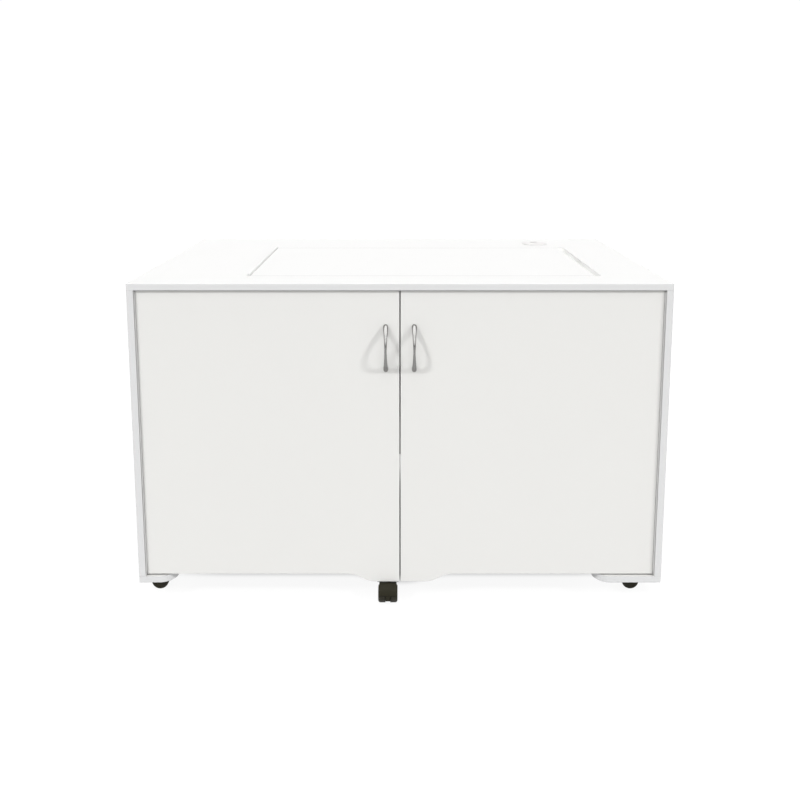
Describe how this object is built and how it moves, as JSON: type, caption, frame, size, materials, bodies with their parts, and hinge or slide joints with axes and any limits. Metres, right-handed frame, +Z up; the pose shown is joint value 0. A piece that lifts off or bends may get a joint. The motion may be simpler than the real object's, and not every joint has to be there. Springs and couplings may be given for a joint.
{
  "type": "sewing cabinet",
  "caption": "White board sewing cabinet on casters: inset double doors, a lid that folds off a machine well, and a gas-spring lift platform inside.",
  "frame": {"origin": "on the floor, under the middle of the cabinet's box with its handles", "axes": "+X to the right as seen from the front, +Y towards the back, +Z up"},
  "size_m": [1.27, 0.775, 0.7943],
  "materials": {
    "white_board": "white melamine faced board with matching edging, satin",
    "satin_nickel": "satin nickel plate",
    "hinge_steel": "bright nickel plate",
    "zinc_steel": "clear zinc plate",
    "hard_chrome": "polished hard chrome",
    "die_cast": "tumbled die casting",
    "black_enamel": "black enamel",
    "natural_nylon": "natural nylon",
    "white_plastic": "fine grain",
    "cable_cover_plastic": "fine grain",
    "black_nylon": "fine grain",
    "black_wheel": "moulded nylon tread, worn to a sheen"
  },
  "bodies": {
    "cabinet": {"top_panel": "white_board", "left_side_panel": "white_board", "right_side_panel": "white_board", "left_base_board": "white_board", "right_base_board": "white_board", "back_panel": "white_board", "lid_ledge_front": "white_board", "lid_ledge_back": "white_board", "lid_ledge_right": "white_board", "lid_hinge_top_leaf": "hinge_steel", "lid_hinge_pin": "hinge_steel", "grommet_ring": "cable_cover_plastic", "base_caster_plates": "zinc_steel", "left_door_hinge_side_leaf": "hinge_steel", "left_door_hinge_pin": "hinge_steel", "left_catch": "white_plastic", "left_partition": "white_board", "left_guide_rail": "zinc_steel", "left_spring_foot": "zinc_steel", "left_spring_cylinder": "black_enamel", "right_door_hinge_side_leaf": "hinge_steel", "right_door_hinge_pin": "hinge_steel", "right_catch": "white_plastic", "right_partition": "white_board", "right_guide_rail": "zinc_steel", "right_spring_foot": "zinc_steel", "right_spring_cylinder": "black_enamel"},
    "left_door": {"left_door": "white_board", "left_door_hinge_door_leaf": "hinge_steel", "left_handle": "satin_nickel", "left_strike": "zinc_steel", "door_caster_plate": "zinc_steel"},
    "right_door": {"right_door": "white_board", "right_door_hinge_door_leaf": "hinge_steel", "right_handle": "satin_nickel", "right_strike": "zinc_steel"},
    "lid": {"lid_panel": "white_board", "lid_hinge_lid_leaf": "hinge_steel"},
    "lift": {"platform_board": "white_board", "release_head": "die_cast", "left_runner": "natural_nylon", "left_platform_bracket": "zinc_steel", "left_spring_rod": "hard_chrome", "right_runner": "natural_nylon", "right_platform_bracket": "zinc_steel", "right_spring_rod": "hard_chrome"},
    "release_lever": {"release_lever": "black_enamel"},
    "cable_cap": {"grommet_cap": "cable_cover_plastic"},
    "swivel_door": {"caster_hood_door": "black_nylon"},
    "wheels_door": {"caster_wheels_door": "black_wheel"},
    "swivel_front_left": {"caster_hood_front_left": "black_nylon"},
    "wheels_front_left": {"caster_wheels_front_left": "black_wheel"},
    "swivel_front_right": {"caster_hood_front_right": "black_nylon"},
    "wheels_front_right": {"caster_wheels_front_right": "black_wheel"},
    "swivel_rear_left": {"caster_hood_rear_left": "black_nylon"},
    "wheels_rear_left": {"caster_wheels_rear_left": "black_wheel"},
    "swivel_rear_right": {"caster_hood_rear_right": "black_nylon"},
    "wheels_rear_right": {"caster_wheels_rear_right": "black_wheel"}
  },
  "joints": [
    {"name": "door_left_swing", "type": "hinge", "parent": "cabinet", "child": "left_door", "pos_m": [-0.6172, -0.3599, 0.42], "axis": [0, 0, -1], "range_deg": [0, 165]},
    {"name": "door_right_swing", "type": "hinge", "parent": "cabinet", "child": "right_door", "pos_m": [0.6172, -0.3599, 0.42], "axis": [0, 0, 1], "range_deg": [0, 165]},
    {"name": "lid_fold", "type": "hinge", "parent": "cabinet", "child": "lid", "pos_m": [-0.37, -0.0345, 0.7903], "axis": [0, -1, 0], "range_deg": [0, 180]},
    {"name": "lift_raise", "type": "slide", "parent": "cabinet", "child": "lift", "axis": [0, 0, 1], "range_m": [0, 0.255]},
    {"name": "release_lever_pull", "type": "hinge", "parent": "lift", "child": "release_lever", "pos_m": [0.4625, -0.1465, 0.401], "axis": [-1, 0, 0], "range_deg": [0, 10]},
    {"name": "turn_cable_cap", "type": "hinge", "parent": "cabinet", "child": "cable_cap", "pos_m": [0.417, 0.2775, 0.791], "axis": [0, 0, 1], "continuous": true},
    {"name": "turn_caster_door", "type": "hinge", "parent": "left_door", "child": "swivel_door", "pos_m": [-0.0295, -0.3495, 0.04], "axis": [0, 0, 1], "continuous": true},
    {"name": "turn_caster_front_left", "type": "hinge", "parent": "cabinet", "child": "swivel_front_left", "pos_m": [-0.59, -0.2885, 0.04], "axis": [0, 0, 1], "continuous": true},
    {"name": "turn_caster_front_right", "type": "hinge", "parent": "cabinet", "child": "swivel_front_right", "pos_m": [0.59, -0.2885, 0.04], "axis": [0, 0, 1], "continuous": true},
    {"name": "turn_caster_rear_left", "type": "hinge", "parent": "cabinet", "child": "swivel_rear_left", "pos_m": [-0.59, 0.3135, 0.04], "axis": [0, 0, 1], "continuous": true},
    {"name": "turn_caster_rear_right", "type": "hinge", "parent": "cabinet", "child": "swivel_rear_right", "pos_m": [0.59, 0.3135, 0.04], "axis": [0, 0, 1], "continuous": true},
    {"name": "wheel_door", "type": "hinge", "parent": "swivel_door", "child": "wheels_door", "pos_m": [-0.0295, -0.3615, 0.021], "axis": [1, 0, 0], "continuous": true},
    {"name": "wheel_front_left", "type": "hinge", "parent": "swivel_front_left", "child": "wheels_front_left", "pos_m": [-0.602, -0.2885, 0.021], "axis": [0, 1, 0], "continuous": true},
    {"name": "wheel_front_right", "type": "hinge", "parent": "swivel_front_right", "child": "wheels_front_right", "pos_m": [0.578, -0.2885, 0.021], "axis": [0, 1, 0], "continuous": true},
    {"name": "wheel_rear_left", "type": "hinge", "parent": "swivel_rear_left", "child": "wheels_rear_left", "pos_m": [-0.602, 0.3135, 0.021], "axis": [0, 1, 0], "continuous": true},
    {"name": "wheel_rear_right", "type": "hinge", "parent": "swivel_rear_right", "child": "wheels_rear_right", "pos_m": [0.578, 0.3135, 0.021], "axis": [0, 1, 0], "continuous": true}
  ]
}
